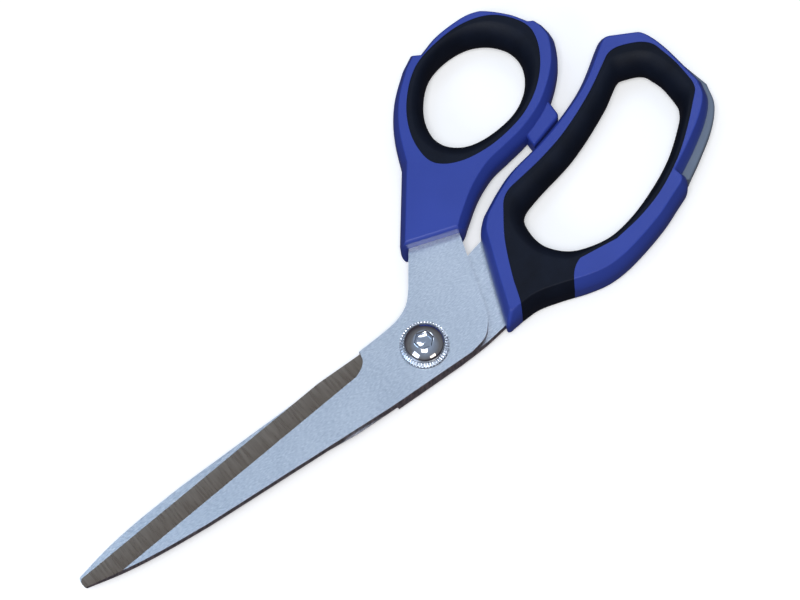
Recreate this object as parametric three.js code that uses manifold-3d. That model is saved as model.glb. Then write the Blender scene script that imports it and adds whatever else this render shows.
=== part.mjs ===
// Office scissors of the 250 mm class with two moulded handles, lying flat and closed.
//
// Millimetres. The Z axis is the pivot, X runs along the blades to the tips, and Y points to the
// side of the finger loop. The scissors rest on the plane Z = 0 with the screw head upwards.
// The front half carries the thumb loop, and the rear half carries the finger loop.

import * as THREE from 'three';
import { mergeVertices } from 'three/addons/utils/BufferGeometryUtils.js';
import Module from 'manifold-3d';

const wasm = await Module();
wasm.setup();

// ---------------------------------------------------------------- driving dimensions

const CLEARANCE = 0.3; // between neighbouring pieces

const HANDLE_THICKNESS = 15;
const MATING_Z = HANDLE_THICKNESS / 2; // the plane where the two blades slide on each other
const BLADE_THICKNESS = 3;

const EDGE_LAND = 0.3; // thickness left at the cutting edge
const GRIND_WIDTH = 7.2; // width of the ground bevel behind the cutting edge
const GRIND_LENGTH = 130;
const GRIND_LEAD = 25; // how far before the heel the wheel starts
const GRIND_OVERLAP = 3; // how far the wheel stands out of the steel
const HEEL = new THREE.Vector2(33, -10.3); // where the cutting edge begins to run in to the tip
const EDGE_TIP = new THREE.Vector2(126, -1.3);

const SHELL_ROLL = 5; // height of the rounded edge of a handle's flank
const SHELL_INSET = 2; // how far that edge draws the face in
const GRIP_ROLL = 6; // the same for the soft wall round a finger hole
const GRIP_INSET = 3;
const GRIP_SINK = 0.3; // the soft faces lie this far below the shell faces
const RIM_TOP = 9.3; // top of the back rims

const STOP_BOTTOM = 3.5;
const STOP_TOP = 11;
const STOP_ROLL = 1.5;
const STOP_INSET = 0.8;
const TANG_HOLE_RADIUS = 2.5;

const SCREW_RADIUS = 3;
const SCREW_CHAMFER = 0.4;
const BUSH_RADIUS = 4;
const HEAD_RADIUS = 6.5;
const HEAD_HEIGHT = 3.1;
const HEAD_BRIM = 0.5; // the straight edge under the dome
const CROWN_WIDTH = 0.9; // the flat round the socket
const SOCKET_ACROSS_FLATS = 5;
const SOCKET_DEPTH = 2.2;
const LOCK_WASHER_RADIUS = 7.7;
const LOCK_WASHER_THICKNESS = 0.9;
const LOCK_WASHER_TEETH = 48;
const TOOTH_DEPTH = 0.5;
const SLIP_WASHER_RADIUS = 6.5;
const SLIP_WASHER_THICKNESS = 0.4;
const SPRING_WASHER_RADIUS = 6.2;
const SPRING_WASHER_THICKNESS = 0.65;
const NUT_ACROSS_FLATS = 10;
const NUT_HEIGHT = 3.1;
const NUT_CHAMFER = 0.6;
const NUT_INSERT_RADIUS = 4.1;
const NUT_INSERT_HEIGHT = 1.1;

const CURVE_STEPS = 3; // segments for each control point of a curve
const ROUND_STEPS = 32; // segments round a turned piece

// ---------------------------------------------------------------- materials

function finish(color, roughness, metalness) {
  return new THREE.MeshStandardMaterial({ color, roughness, metalness });
}

const FINISHES = {
  satinSteel: finish('#b4bfd0', 0.35, 1),
  chrome: finish('#c9ccd2', 0.12, 1),
  plainSteel: finish('#9a9da3', 0.4, 1),
  blueShell: finish('#3d4fa6', 0.4, 0),
  blackRubber: finish('#1b222c', 0.7, 0),
  greyRim: finish('#78879b', 0.55, 0),
  whiteNylon: finish('#d9d9d2', 0.6, 0),
};

// ---------------------------------------------------------------- solids

const points = (list) => list.map(([x, y]) => new THREE.Vector2(x, y));

function closedCurve(list) {
  const knots = list.map(([x, y]) => new THREE.Vector3(x, y, 0));
  const curve = new THREE.CatmullRomCurve3(knots, true, 'centripetal');
  return new THREE.Shape(curve.getPoints(list.length * CURVE_STEPS).slice(0, -1));
}

// The same outline as straight segments, without a last point that repeats the first.
function segmented(shape) {
  const corners = (path) => {
    const list = path.getPoints(CURVE_STEPS);
    return list[0].distanceTo(list.at(-1)) < 1e-6 ? list.slice(0, -1) : list;
  };
  const result = new THREE.Shape(corners(shape));
  result.holes = shape.holes.map((hole) => new THREE.Path(corners(hole)));
  return result;
}

function toSolid(geometry) {
  const plain = geometry.clone();
  plain.deleteAttribute('normal');
  plain.deleteAttribute('uv');
  const merged = mergeVertices(plain, 1e-4);
  return new wasm.Manifold(new wasm.Mesh({
    numProp: 3,
    vertProperties: merged.attributes.position.array,
    triVerts: Uint32Array.from(merged.index.array),
  }));
}

function toGeometry(body) {
  const mesh = body.getMesh();
  const geometry = new THREE.BufferGeometry();
  geometry.setAttribute('position', new THREE.BufferAttribute(mesh.vertProperties, 3));
  geometry.setIndex(new THREE.BufferAttribute(mesh.triVerts, 1));
  geometry.computeVertexNormals();
  return geometry;
}

// A plate of the given outline between two heights. A positive grow widens the outline.
function plate(shape, bottom, top, grow = 0) {
  const geometry = new THREE.ExtrudeGeometry(segmented(shape), {
    depth: top - bottom,
    bevelEnabled: grow !== 0,
    bevelThickness: 0,
    bevelSize: 0,
    bevelOffset: grow,
    bevelSegments: 0,
  });
  return toSolid(geometry.translate(0, 0, bottom));
}

// A plate whose edges are rolled over towards both faces, with its full outline half way up.
function rolledPlate(shape, bottom, top, roll, inset) {
  const geometry = new THREE.ExtrudeGeometry(segmented(shape), {
    depth: top - bottom - 2 * roll,
    bevelThickness: roll,
    bevelSize: inset,
    bevelOffset: -inset,
    bevelSegments: 3,
  });
  return toSolid(geometry.translate(0, 0, bottom + roll));
}

// A turned piece from its half section, given as pairs of radius and height, which either starts
// and ends on the axis or is closed here.
function turned(section) {
  const onAxis = section[0][0] === 0;
  const profile = points(onAxis ? section : [...section, section[0]]);
  return toSolid(new THREE.LatheGeometry(profile, ROUND_STEPS).rotateX(Math.PI / 2));
}

function ring(inner, outer, bottom, top) {
  return turned([[inner, bottom], [outer, bottom], [outer, top], [inner, top]]);
}

function disc(radius, bottom, top, [x, y] = [0, 0]) {
  const geometry = new THREE.CylinderGeometry(radius, radius, top - bottom, ROUND_STEPS);
  geometry.rotateX(Math.PI / 2);
  return toSolid(geometry.translate(x, y, (bottom + top) / 2));
}

// A hexagonal prism with two of its flats facing along Y.
function hexagon(acrossFlats, bottom, top) {
  const radius = acrossFlats / Math.sqrt(3);
  const geometry = new THREE.CylinderGeometry(radius, radius, top - bottom, 6);
  geometry.rotateX(Math.PI / 2).rotateZ(Math.PI / 6);
  return toSolid(geometry.translate(0, 0, (bottom + top) / 2));
}

// ---------------------------------------------------------------- blades

// A half's outline from the heel of its blade round the tip and back to the ricasso. The front
// half has side +1. The rear half has side -1, which mirrors the blade but not its tang.
function halfOutline(side, tang) {
  const outline = new THREE.Shape();
  outline.moveTo(18, side * -10.3);
  outline.lineTo(HEEL.x, side * HEEL.y);
  outline.lineTo(EDGE_TIP.x, side * EDGE_TIP.y);
  outline.bezierCurveTo(127, side * -0.9, 127.1, side * 1.2, 126.3, side * 2.2);
  outline.splineThru(points([[114.4, side * 4.9], [102.4, side * 6.6], [86, side * 8]]));
  outline.lineTo(20, side * 10.4);
  tang(outline);
  outline.closePath();
  return outline;
}

function frontTang(outline) {
  outline.lineTo(-10.5, 10.5);
  outline.splineThru(points([[-16.2, 9], [-20.3, 5.2], [-22.6, 0.6], [-24.6, -5.8]]));
  outline.lineTo(-30.6, -24);
  outline.splineThru(points([[-33.4, -33], [-34.4, -42]]));
  outline.quadraticCurveTo(-34.6, -48, -28.5, -46.4);
  outline.lineTo(-13.4, -27.4);
  outline.lineTo(-6.8, -18.2);
  outline.splineThru(points([[-3.8, -14.9], [-0.4, -12.8], [4, -11.5], [10, -10.8]]));
}

function rearTang(outline) {
  outline.lineTo(8, -10.6);
  outline.splineThru(points([[-10, -12.2], [-20, -14.6], [-29, -17.6], [-34.6, -19]]));
  outline.quadraticCurveTo(-40.8, -20.4, -42.6, -14.5);
  outline.lineTo(-43, -2);
  outline.quadraticCurveTo(-42.4, 6.4, -36, 7);
  outline.lineTo(-26, 8.2);
  outline.splineThru(points([[-16.3, 9.6], [-6.6, 10.2]]));
}

const OUTLINES = { front: halfOutline(1, frontTang), rear: halfOutline(-1, rearTang) };
const TANG_HOLES = { front: [[-27.5, -36.5], [-30, -42.5]], rear: [[-38.5, -14], [-37, 1]] };
const SIDES = { front: 1, rear: -1 };

// The lower and upper height of a half's steel, with room all round it where grow is given.
function steelHeights(half, grow = 0) {
  const near = MATING_Z + SIDES[half] * (CLEARANCE / 2 - grow);
  const far = MATING_Z + SIDES[half] * (CLEARANCE / 2 + BLADE_THICKNESS + grow);
  return [Math.min(near, far), Math.max(near, far)];
}

// What the grinding wheel takes off: a wedge along the cutting edge, with a curved run-out at
// the ricasso.
function grinding(half) {
  const side = SIDES[half];
  const slope = (BLADE_THICKNESS - EDGE_LAND) / GRIND_WIDTH;
  const rise = GRIND_OVERLAP * slope;
  const wedge = new THREE.Shape(points([
    [-GRIND_OVERLAP, EDGE_LAND - rise],
    [GRIND_WIDTH + GRIND_OVERLAP, BLADE_THICKNESS + rise],
    [-GRIND_OVERLAP, BLADE_THICKNESS + rise],
  ]));
  const along = new THREE.Vector3(EDGE_TIP.x - HEEL.x, side * (EDGE_TIP.y - HEEL.y), 0).normalize();
  const up = new THREE.Vector3(0, 0, side);
  const inward = new THREE.Vector3().crossVectors(up, along);
  const start = new THREE.Vector3(HEEL.x, side * HEEL.y, MATING_Z + (side * CLEARANCE) / 2);
  start.addScaledVector(along, -GRIND_LEAD);
  const place = new THREE.Matrix4().makeBasis(inward, up, along).setPosition(start);
  const cut = new THREE.ExtrudeGeometry(wedge, { depth: GRIND_LENGTH, bevelEnabled: false });
  const reach = new THREE.Shape();
  reach.moveTo(17.4, side * -15);
  reach.lineTo(17.4, side * -9.8);
  reach.bezierCurveTo(17.8, side * -5.6, 22, side * -3.6, 32, side * -2);
  reach.lineTo(140, side * 20);
  reach.lineTo(140, side * -15);
  reach.closePath();
  return toSolid(cut.applyMatrix4(place)).intersect(plate(reach, -5, HANDLE_THICKNESS + 5));
}

function blade(half) {
  const [bottom, top] = steelHeights(half);
  const recess = SLIP_WASHER_THICKNESS / 2 + CLEARANCE;
  let body = plate(OUTLINES[half], bottom, top).subtract(grinding(half));
  body = body.subtract(disc(BUSH_RADIUS + CLEARANCE, bottom - 1, top + 1));
  body = body.subtract(disc(SLIP_WASHER_RADIUS + CLEARANCE, MATING_Z - recess, MATING_Z + recess));
  for (const centre of TANG_HOLES[half]) {
    body = body.subtract(disc(TANG_HOLE_RADIUS, bottom - 1, top + 1, centre));
  }
  return body;
}

// The pocket that a tang fills inside its handle. The moulding runs through the tang's holes, so
// a peg is left standing in each of them.
function tangPocket(half) {
  const [bottom, top] = steelHeights(half, CLEARANCE);
  let pocket = plate(OUTLINES[half], bottom, top, CLEARANCE);
  for (const centre of TANG_HOLES[half]) {
    pocket = pocket.subtract(disc(TANG_HOLE_RADIUS - CLEARANCE, bottom - 1, top + 1, centre));
  }
  return pocket;
}

// ---------------------------------------------------------------- handles

// Each handle has its outer outline, the line where the hard shell meets the soft grip, the
// hole, and the stretch of its rim that the grey back rim takes.

function thumbOutline() {
  const outline = new THREE.Shape();
  outline.moveTo(-12.2, -30.5);
  outline.lineTo(-29.1, -53.2);
  outline.splineThru(points([[-34, -64.3], [-40.2, -73.1], [-48.6, -80.6], [-54.2, -83.8]]));
  outline.lineTo(-56.5, -82.2);
  outline.splineThru(points([
    [-64.3, -84.6], [-73.1, -85.3], [-82.4, -83.2], [-89.8, -76.6], [-94.9, -67.3], [-94.4, -60.2],
    [-90.5, -53.4], [-84.7, -47.5], [-77, -42.1], [-68, -38.5], [-59, -36.7], [-51.5, -35.3],
    [-43, -31.4], [-34.6, -25.5],
  ]));
  outline.lineTo(-31.3, -24.5);
  outline.quadraticCurveTo(-21, -26.6, -12.2, -30.5);
  return outline;
}

function thumbGripLine() {
  return closedCurve([
    [-36.3, -51], [-37.7, -60.2], [-43.2, -69.8], [-52.5, -78], [-63.5, -81.2], [-74, -81.5],
    [-82.8, -78.4], [-88.6, -71.5], [-89.8, -65.5], [-86.3, -57], [-79.5, -49.4], [-71, -44.2],
    [-62.5, -41.8], [-53.5, -41], [-44.5, -42.3], [-38.2, -46],
  ]);
}

function thumbHole() {
  return closedCurve([
    [-43.8, -57.5], [-47, -66.6], [-55.2, -75.2], [-64.4, -78.2], [-73.6, -76.6], [-80.8, -69.8],
    [-81.9, -62], [-77.8, -54], [-70.5, -48.4], [-62, -46.2], [-52, -46.8], [-45.6, -51],
  ]);
}

function fingerOutline() {
  const outline = new THREE.Shape();
  outline.moveTo(-35.4, -19.4);
  outline.splineThru(points([[-32.4, -12], [-28.4, -1.8]]));
  outline.lineTo(-23.7, 10.7);
  outline.lineTo(-30.2, 9.9);
  outline.splineThru(points([
    [-36.6, 9.8], [-43.6, 11.6], [-53.1, 14.7], [-60.4, 16], [-69, 15.3], [-83, 11.8], [-92.4, 8.1],
  ]));
  outline.quadraticCurveTo(-98, 5.8, -98.6, 3.5);
  outline.splineThru(points([[-107, -1.7], [-116.2, -7.6], [-122.2, -13.4], [-124.4, -19.6]]));
  outline.lineTo(-123, -34);
  outline.quadraticCurveTo(-121.4, -46, -117.4, -47.6);
  outline.lineTo(-108.9, -51.4);
  outline.quadraticCurveTo(-106.3, -52.6, -103.4, -50.6);
  outline.splineThru(points([
    [-91, -42.4], [-79, -37.3], [-67.2, -33.8], [-55.6, -31.4], [-47.9, -28.4], [-40.2, -24.4],
  ]));
  outline.quadraticCurveTo(-37, -22.1, -35.4, -19.4);
  return outline;
}

function fingerGripLine() {
  const outline = new THREE.Shape();
  outline.moveTo(-27.6, 16);
  outline.lineTo(-28.4, 12.8);
  outline.splineThru(points([[-31.2, 7.4], [-34.2, -0.8], [-39.8, -12.6], [-46, -21.8]]));
  outline.quadraticCurveTo(-48.6, -25.6, -53.6, -26);
  outline.splineThru(points([[-64.8, -27.9], [-76, -30.9], [-90.2, -37], [-102.6, -44.2]]));
  outline.quadraticCurveTo(-105.6, -46.2, -110.6, -44);
  outline.quadraticCurveTo(-117.4, -41.4, -118, -37);
  outline.splineThru(points([[-119.2, -29.4], [-119.3, -22]]));
  outline.quadraticCurveTo(-119.2, -18.8, -117.4, -17.2);
  outline.splineThru(points([[-108.2, -9], [-99, -2.2], [-88, 3.5], [-78, 6.6], [-67.5, 8.3]]));
  outline.splineThru(points([[-60, 7.4], [-54.6, 6.8]]));
  outline.quadraticCurveTo(-49.6, 8, -46.6, 15.6);
  outline.lineTo(-46.4, 22);
  outline.closePath();
  return outline;
}

function fingerHole() {
  return closedCurve([
    [-48.7, -10.5], [-50.4, -17], [-57, -20.2], [-75.6, -24.8], [-93.4, -32.4], [-104, -38.8],
    [-110.6, -36.4], [-113.2, -28.6], [-112.9, -21.4], [-109.2, -14.8], [-97.8, -5.6],
    [-85.8, 0.3], [-74, 4.2], [-64.6, 5], [-55.6, 1.7], [-50, -4.2],
  ]);
}

const HANDLES = {
  thumb: {
    half: 'front',
    outline: thumbOutline(),
    gripLine: thumbGripLine(),
    hole: thumbHole(),
    rimSector: new THREE.Shape(points([[-64, -62], [-72, -100], [-110, -100], [-110, -64.4]])),
  },
  finger: {
    half: 'rear',
    outline: fingerOutline(),
    gripLine: fingerGripLine(),
    hole: fingerHole(),
    rimSector: new THREE.Shape(points([
      [-82, -20], [-98.9, 4.2], [-130, 20], [-140, -60], [-121, -47.2],
    ])),
  },
};

// The closing stop on the thumb handle. Its outer edge follows the finger handle's flank.
function closingStop() {
  const outline = new THREE.Shape(points([[-80.4, -46], [-80, -38.2], [-67.2, -34.3], [-67.4, -40]]));
  return rolledPlate(outline, STOP_BOTTOM, STOP_TOP, STOP_ROLL, STOP_INSET);
}

function handleBody({ outline }) {
  return rolledPlate(outline, 0, HANDLE_THICKNESS, SHELL_ROLL, SHELL_INSET);
}

function shell(handle) {
  return handleBody(handle)
    .subtract(plate(handle.rimSector, -1, RIM_TOP + CLEARANCE))
    .subtract(plate(handle.gripLine, -1, HANDLE_THICKNESS + 1))
    .subtract(tangPocket(handle.half));
}

function grip(handle) {
  const around = new THREE.Shape(points([[-160, -120], [20, -120], [20, 40], [-160, 40]]));
  around.holes.push(handle.hole);
  const bottom = GRIP_SINK;
  const top = HANDLE_THICKNESS - GRIP_SINK;
  return rolledPlate(around, bottom, top, GRIP_ROLL, GRIP_INSET)
    .intersect(handleBody(handle))
    .intersect(plate(handle.gripLine, 0, HANDLE_THICKNESS, -CLEARANCE))
    .subtract(tangPocket(handle.half));
}

function backRim(handle) {
  return handleBody(handle)
    .intersect(plate(handle.rimSector, 0, RIM_TOP, -CLEARANCE))
    .subtract(plate(handle.gripLine, -1, HANDLE_THICKNESS));
}

// ---------------------------------------------------------------- pivot

const [REAR_FACE, FRONT_FACE] = [steelHeights('rear')[0], steelHeights('front')[1]];
const LOCK_WASHER_BOTTOM = FRONT_FACE + CLEARANCE;
const HEAD_BOTTOM = LOCK_WASHER_BOTTOM + LOCK_WASHER_THICKNESS + CLEARANCE;
const HEAD_TOP = HEAD_BOTTOM + HEAD_HEIGHT;
const SPRING_WASHER_TOP = REAR_FACE - CLEARANCE;

// A button-head screw: a domed head with a hexagon socket, on a shank that ends flush with the
// nut.
function pivotScrew() {
  const crown = SOCKET_ACROSS_FLATS / 2 + CROWN_WIDTH;
  const brim = HEAD_BOTTOM + HEAD_BRIM;
  const section = [
    [0, 0], [SCREW_RADIUS - SCREW_CHAMFER, 0], [SCREW_RADIUS, SCREW_CHAMFER],
    [SCREW_RADIUS, HEAD_BOTTOM], [HEAD_RADIUS, HEAD_BOTTOM], [HEAD_RADIUS, brim],
  ];
  const dome = new THREE.EllipseCurve(
    crown, brim, HEAD_RADIUS - crown, HEAD_TOP - brim, 0, Math.PI / 2);
  section.push(...dome.getPoints(8).slice(1).map((p) => [p.x, p.y]), [0, HEAD_TOP]);
  return turned(section).subtract(hexagon(SOCKET_ACROSS_FLATS, HEAD_TOP - SOCKET_DEPTH, HEAD_TOP + 1));
}

// A lock washer with fine teeth round its edge.
function lockWasher() {
  const outline = new THREE.Shape();
  for (let i = 0; i < LOCK_WASHER_TEETH; i += 1) {
    for (const [part, radius] of [[0, LOCK_WASHER_RADIUS], [0.5, LOCK_WASHER_RADIUS - TOOTH_DEPTH]]) {
      const angle = ((i + part) / LOCK_WASHER_TEETH) * 2 * Math.PI;
      outline[i + part === 0 ? 'moveTo' : 'lineTo'](radius * Math.cos(angle), radius * Math.sin(angle));
    }
  }
  outline.closePath();
  const top = LOCK_WASHER_BOTTOM + LOCK_WASHER_THICKNESS;
  return plate(outline, LOCK_WASHER_BOTTOM, top)
    .subtract(disc(SCREW_RADIUS + CLEARANCE, LOCK_WASHER_BOTTOM - 1, top + 1));
}

function pivotBush() {
  return ring(SCREW_RADIUS + CLEARANCE, BUSH_RADIUS, REAR_FACE, FRONT_FACE);
}

function slipWasher() {
  const half = SLIP_WASHER_THICKNESS / 2;
  return ring(BUSH_RADIUS + CLEARANCE, SLIP_WASHER_RADIUS, MATING_Z - half, MATING_Z + half);
}

function springWasher() {
  const bottom = SPRING_WASHER_TOP - SPRING_WASHER_THICKNESS;
  return ring(SCREW_RADIUS + CLEARANCE, SPRING_WASHER_RADIUS, bottom, SPRING_WASHER_TOP);
}

// The nylon ring sits in the back of the nut and grips the thread.
function lockNut() {
  const corner = NUT_ACROSS_FLATS / Math.sqrt(3) + 0.1;
  const chamfer = turned([
    [0, 0], [corner - NUT_CHAMFER, 0], [corner, NUT_CHAMFER], [corner, NUT_HEIGHT], [0, NUT_HEIGHT],
  ]);
  return hexagon(NUT_ACROSS_FLATS, 0, NUT_HEIGHT)
    .intersect(chamfer)
    .subtract(disc(SCREW_RADIUS + CLEARANCE, -1, NUT_HEIGHT + 1))
    .subtract(disc(NUT_INSERT_RADIUS + CLEARANCE, -1, NUT_INSERT_HEIGHT + CLEARANCE));
}

function nutInsert() {
  return ring(SCREW_RADIUS + CLEARANCE, NUT_INSERT_RADIUS, 0, NUT_INSERT_HEIGHT);
}

// ---------------------------------------------------------------- assembly

function piece(name, body, material) {
  const mesh = new THREE.Mesh(toGeometry(body), material);
  mesh.name = name;
  return mesh;
}

function handlePieces(name) {
  const handle = HANDLES[name];
  const body = name === 'thumb' ? shell(handle).add(closingStop()) : shell(handle);
  const group = new THREE.Group();
  group.add(
    piece(`${name}_shell`, body, FINISHES.blueShell),
    piece(`${name}_soft_grip`, grip(handle), FINISHES.blackRubber),
    piece(`${name}_back_rim`, backRim(handle), FINISHES.greyRim),
  );
  return group;
}

const frontHalf = new THREE.Group();
frontHalf.add(piece('front_blade', blade('front'), FINISHES.satinSteel), handlePieces('thumb'));

const rearHalf = new THREE.Group();
rearHalf.add(piece('rear_blade', blade('rear'), FINISHES.satinSteel), handlePieces('finger'));

const pivot = new THREE.Group();
pivot.add(
  piece('pivot_screw', pivotScrew(), FINISHES.chrome),
  piece('lock_washer', lockWasher(), FINISHES.chrome),
  piece('pivot_bush', pivotBush(), FINISHES.plainSteel),
  piece('slip_washer', slipWasher(), FINISHES.whiteNylon),
  piece('spring_washer', springWasher(), FINISHES.plainSteel),
  piece('lock_nut', lockNut(), FINISHES.plainSteel),
  piece('nut_insert', nutInsert(), FINISHES.whiteNylon),
);

const scissors = new THREE.Group();
scissors.add(frontHalf, rearHalf, pivot);

export default scissors;
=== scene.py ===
"""Office scissors of the 250 mm class: satin steel blades, blue handles with soft black grips."""

import math
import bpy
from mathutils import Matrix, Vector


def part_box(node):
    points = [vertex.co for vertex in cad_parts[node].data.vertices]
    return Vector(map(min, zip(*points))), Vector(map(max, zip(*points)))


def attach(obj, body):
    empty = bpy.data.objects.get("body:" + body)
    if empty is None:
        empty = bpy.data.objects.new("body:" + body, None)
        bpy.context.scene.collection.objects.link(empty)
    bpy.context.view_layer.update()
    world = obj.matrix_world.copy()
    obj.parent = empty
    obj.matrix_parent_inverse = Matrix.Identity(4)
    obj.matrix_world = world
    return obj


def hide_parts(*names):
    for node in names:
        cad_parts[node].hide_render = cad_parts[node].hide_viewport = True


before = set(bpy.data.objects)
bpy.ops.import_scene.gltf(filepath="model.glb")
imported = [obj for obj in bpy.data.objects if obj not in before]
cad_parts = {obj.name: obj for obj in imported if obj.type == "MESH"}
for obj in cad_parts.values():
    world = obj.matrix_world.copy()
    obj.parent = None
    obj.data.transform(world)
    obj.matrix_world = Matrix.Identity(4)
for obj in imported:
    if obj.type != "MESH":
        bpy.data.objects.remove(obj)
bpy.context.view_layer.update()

from types import SimpleNamespace

import bmesh
import bpy
from bpy.props import FloatProperty, FloatVectorProperty, IntProperty, PointerProperty
from mathutils import Matrix, Vector
from mathutils.bvhtree import BVHTree
from mathutils.geometry import interpolate_bezier

bl_info = {
    "name": "Office scissors",
    "version": (1, 0, 0),
    "blender": (4, 5, 0),
    "location": "3D View > Sidebar > Scissors",
    "description": "Models a pair of office scissors round their packed frame",
    "category": "Add Mesh",
}

MM = 0.001

# ---------------------------------------------------------------- places from the frame

BODY = {"front": "front_half", "rear": "rear_half"}
SIDE = {"front": 1, "rear": -1}
HANDLE_HALF = {"thumb": "front", "finger": "rear"}

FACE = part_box("thumb_shell")[1].z / MM  # height of the handles' upper faces
MIDDLE = FACE / 2  # the plane where the blades slide on each other
RIM_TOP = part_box("thumb_back_rim")[1].z / MM
STEEL = {half: [corner.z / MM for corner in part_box(f"{half}_blade")] for half in BODY}
WASHER_BOTTOM, WASHER_TOP = [corner.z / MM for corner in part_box("lock_washer")]
WASHER_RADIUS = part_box("lock_washer")[1].x / MM
HEAD_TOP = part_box("pivot_screw")[1].z / MM
HEAD_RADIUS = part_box("pivot_screw")[1].x / MM

# Sizes that the boxes don't show, in millimetres.
SHANK_RADIUS = 3.0  # the pivot screw
SCREW_HOLE = 3.3  # radius of the hole in all that the screw clamps
BUSH_HOLE = 4.3  # radius of the hole round the bush, in the blades and the slip washer
PEG_HOLE = 2.5  # radius of the holes in the tangs, which the mouldings run through
TANG_GAP = 0.02  # room round the steel inside the mouldings
SEAM = 0.03  # how far a soft grip stays inside its shell's opening
OVER = 1.0  # how far a cutting tool reaches past what it cuts
ROUND = 96  # steps round a turned piece
SAME = 1e-4  # points nearer than this are one point

# ---------------------------------------------------------------- outlines in millimetres

CURVE_STEPS = 8  # points for each stretch of a curve


def smooth(knots, closed=False):
    """Points along a smooth curve through the knots. A closed curve doesn't repeat its first."""
    count = len(knots)

    def knot(i):
        return knots[i % count] if closed else knots[min(max(i, 0), count - 1)]

    run = []
    for i in range(count if closed else count - 1):
        start, end = knot(i), knot(i + 1)
        reach = (end - start).length / 3
        leave = (end - knot(i - 1)).normalized() * reach
        arrive = (knot(i + 2) - start).normalized() * reach
        run += interpolate_bezier(start, start + leave, end - arrive, end, CURVE_STEPS + 1)[:-1]
    return run if closed else run + [knots[-1]]


def outline(start, *runs):
    """A closed outline. A run is ("line", points), ("curve", points) or ("bend", corner, end)."""
    path = [Vector(start)]
    for kind, *knots in runs:
        knots = [Vector(knot) for knot in knots]
        if kind == "line":
            path += knots
        elif kind == "curve":
            path += smooth([path[-1], *knots])[1:]
        else:
            corner, end = knots
            leave, arrive = path[-1].lerp(corner, 2 / 3), end.lerp(corner, 2 / 3)
            path += interpolate_bezier(path[-1], leave, arrive, end, CURVE_STEPS + 1)[1:]
    if (path[-1] - path[0]).length < SAME:
        path.pop()
    return path


def ring_through(*knots):
    """A closed smooth outline through the knots."""
    return smooth([Vector(knot) for knot in knots], closed=True)


def outward(path):
    """The unit vector that points out of the outline at each of its points."""
    area = sum(a.cross(b) for a, b in zip(path, path[1:] + path[:1]))
    turn = 1 if area > 0 else -1
    result = []
    for before, after in zip(path[-1:] + path[:-1], path[1:] + path[:1]):
        along = (after - before).normalized() * turn
        result.append(Vector((along.y, -along.x)))
    return result


def grown(path, distance):
    """The outline moved outwards."""
    return [point + normal * distance for point, normal in zip(path, outward(path))]


def front_tang():
    """The outline's runs round the front tang, from the spine to the cutting edge."""
    return (
        ("line", (-10.5, 10.5)),
        ("curve", (-16.2, 9), (-20.3, 5.2), (-22.6, 0.6), (-24.6, -5.8)),
        ("line", (-30.6, -24)),
        ("curve", (-33.4, -33), (-34.4, -42)),
        ("bend", (-34.6, -48), (-28.5, -46.4)),
        ("line", (-13.4, -27.4), (-6.8, -18.2)),
        ("curve", (-3.8, -14.9), (-0.4, -12.8), (4, -11.5), (10, -10.8)),
    )


def rear_tang():
    """The outline's runs round the rear tang, from the spine to the cutting edge."""
    return (
        ("line", (8, -10.6)),
        ("curve", (-10, -12.2), (-20, -14.6), (-29, -17.6), (-34.6, -19)),
        ("bend", (-40.8, -20.4), (-42.6, -14.5)),
        ("line", (-43, -2)),
        ("bend", (-42.4, 6.4), (-36, 7)),
        ("line", (-26, 8.2)),
        ("curve", (-16.3, 9.6), (-6.6, 10.2)),
    )


TANGS = {"front": front_tang, "rear": rear_tang}
TANG_HOLES = {"front": ((-27.5, -36.5), (-30, -42.5)), "rear": ((-38.5, -14), (-37, 1))}
HEEL = Vector((33, -10.3))  # where the cutting edge begins to run in to the tip
EDGE_TIP = Vector((126, -1.3))


def steel_outline(half):
    """A half's steel, from the heel round the tip to the spine, and round its tang."""
    side = SIDE[half]
    edge = [Vector((x, side * y)) for x, y in ((18, -10.3), HEEL, EDGE_TIP)]
    nose = [Vector((x, side * y)) for x, y in (EDGE_TIP, (127, -0.9), (127.1, 1.2), (126.3, 2.2))]
    nose = interpolate_bezier(*nose, CURVE_STEPS + 1)[1:]
    spine = [(x, side * y) for x, y in ((114.4, 4.9), (102.4, 6.6), (86, 8))]
    blade = (("line", *edge[1:], *nose), ("curve", *spine), ("line", (20, side * 10.4)))
    return outline(edge[0], *blade, *TANGS[half]())


def thumb_shell_line(lip=True):
    """The thumb shell's outline. Its neck runs on past the cut that squares it off at the tang.
    With a lip, it draws in above the back rim, and without one, it is the rim's own outline."""
    if lip:
        back = (
            ("curve", (-64.3, -84.6), (-73.1, -85.3), (-78, -84.8), (-82.4, -82.9), (-88.9, -76.2),
             (-92, -71)),
            ("line", (-93.7, -70), (-94.7, -67)),
            ("curve", (-95, -63.6)),
        )
    else:
        back = (
            ("curve", (-64.3, -84.6), (-73.1, -85.3), (-82.4, -83.2), (-89.8, -76.6),
             (-94.9, -67.3)),
        )
    return outline(
        (-9.6, -27),
        ("line", (-29.1, -53.2)),
        ("curve", (-34, -64.3), (-40.2, -73.1), (-48.6, -80.6), (-51.4, -82.3)),
        ("line", (-54.2, -83.9), (-56.9, -82.3)),
        *back,
        ("curve", (-94.4, -60.2), (-90.5, -53.4), (-84.7, -47.5), (-77, -42.1),
         (-68, -38.5), (-59, -36.7), (-51.5, -35.3), (-43, -31.4), (-34.6, -25.5)),
        ("line", (-26.2, -18.6)),
    )


def thumb_rim_sector():
    """The part of the plane in which the thumb handle's back is the grey rim."""
    return outline((-64, -62), ("line", (-72, -100), (-110, -100), (-110, -66), (-93, -69.6)))


def finger_rim_sector():
    """The part of the plane in which the finger handle's back is the grey rim."""
    return outline((-82, -20), ("line", (-98.4, 3.2), (-130, 20), (-140, -60), (-119.7, -46.5)))


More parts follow.
